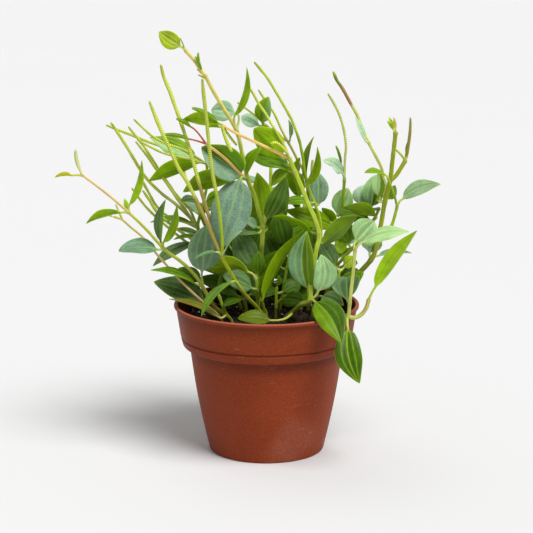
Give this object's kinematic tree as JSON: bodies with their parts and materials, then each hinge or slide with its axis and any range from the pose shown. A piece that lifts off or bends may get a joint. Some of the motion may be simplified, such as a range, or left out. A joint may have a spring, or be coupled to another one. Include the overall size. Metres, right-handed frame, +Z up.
{
  "type": "potted peperomia",
  "caption": "Houseplant in a tapered, rimmed terracotta-coloured pot: angled stems with paired, pale-veined elliptic leaves and long thin flower spikes. It stands on its base.",
  "frame": {"origin": "on the pot's own axis, in the plane of the table that its base stands on, at the middle of its flat base", "axes": "+Z up along the pot's axis; -Y towards the viewer of the picture, so the plant's best side looks along -Y; +X to that viewer's right"},
  "size_m": [0.2447, 0.1429, 0.2733],
  "materials": {
    "pot": "matte",
    "soil": "matte",
    "foliage": "satin",
    "stem": "satin",
    "spike": "satin"
  },
  "bodies": {
    "root": {"pot": "pot", "soil": "soil", "left_reach_stem": "foliage", "tan_runner_stem": "foliage", "spike_bearer_stem": "foliage", "low_centre_stem": "foliage", "tall_main_stem": "foliage", "front_main_stem": "foliage", "trailing_stem": "foliage", "behind_centre_stem": "foliage", "centre_right_stem": "foliage", "right_vertical_stem": "foliage", "right_main_stem": "foliage", "right_second_stem": "foliage", "small_inner_stem": "foliage", "back_left_stem": "foliage", "front_left_stem": "foliage", "inner_left_stem": "foliage", "inner_middle_stem": "foliage", "inner_right_stem": "foliage", "inner_back_stem": "foliage", "rear_stem_1": "foliage", "rear_stem_2": "foliage", "rear_stem_3": "foliage", "rear_stem_4": "foliage", "rear_stem_5": "foliage"}
  },
  "joints": []
}
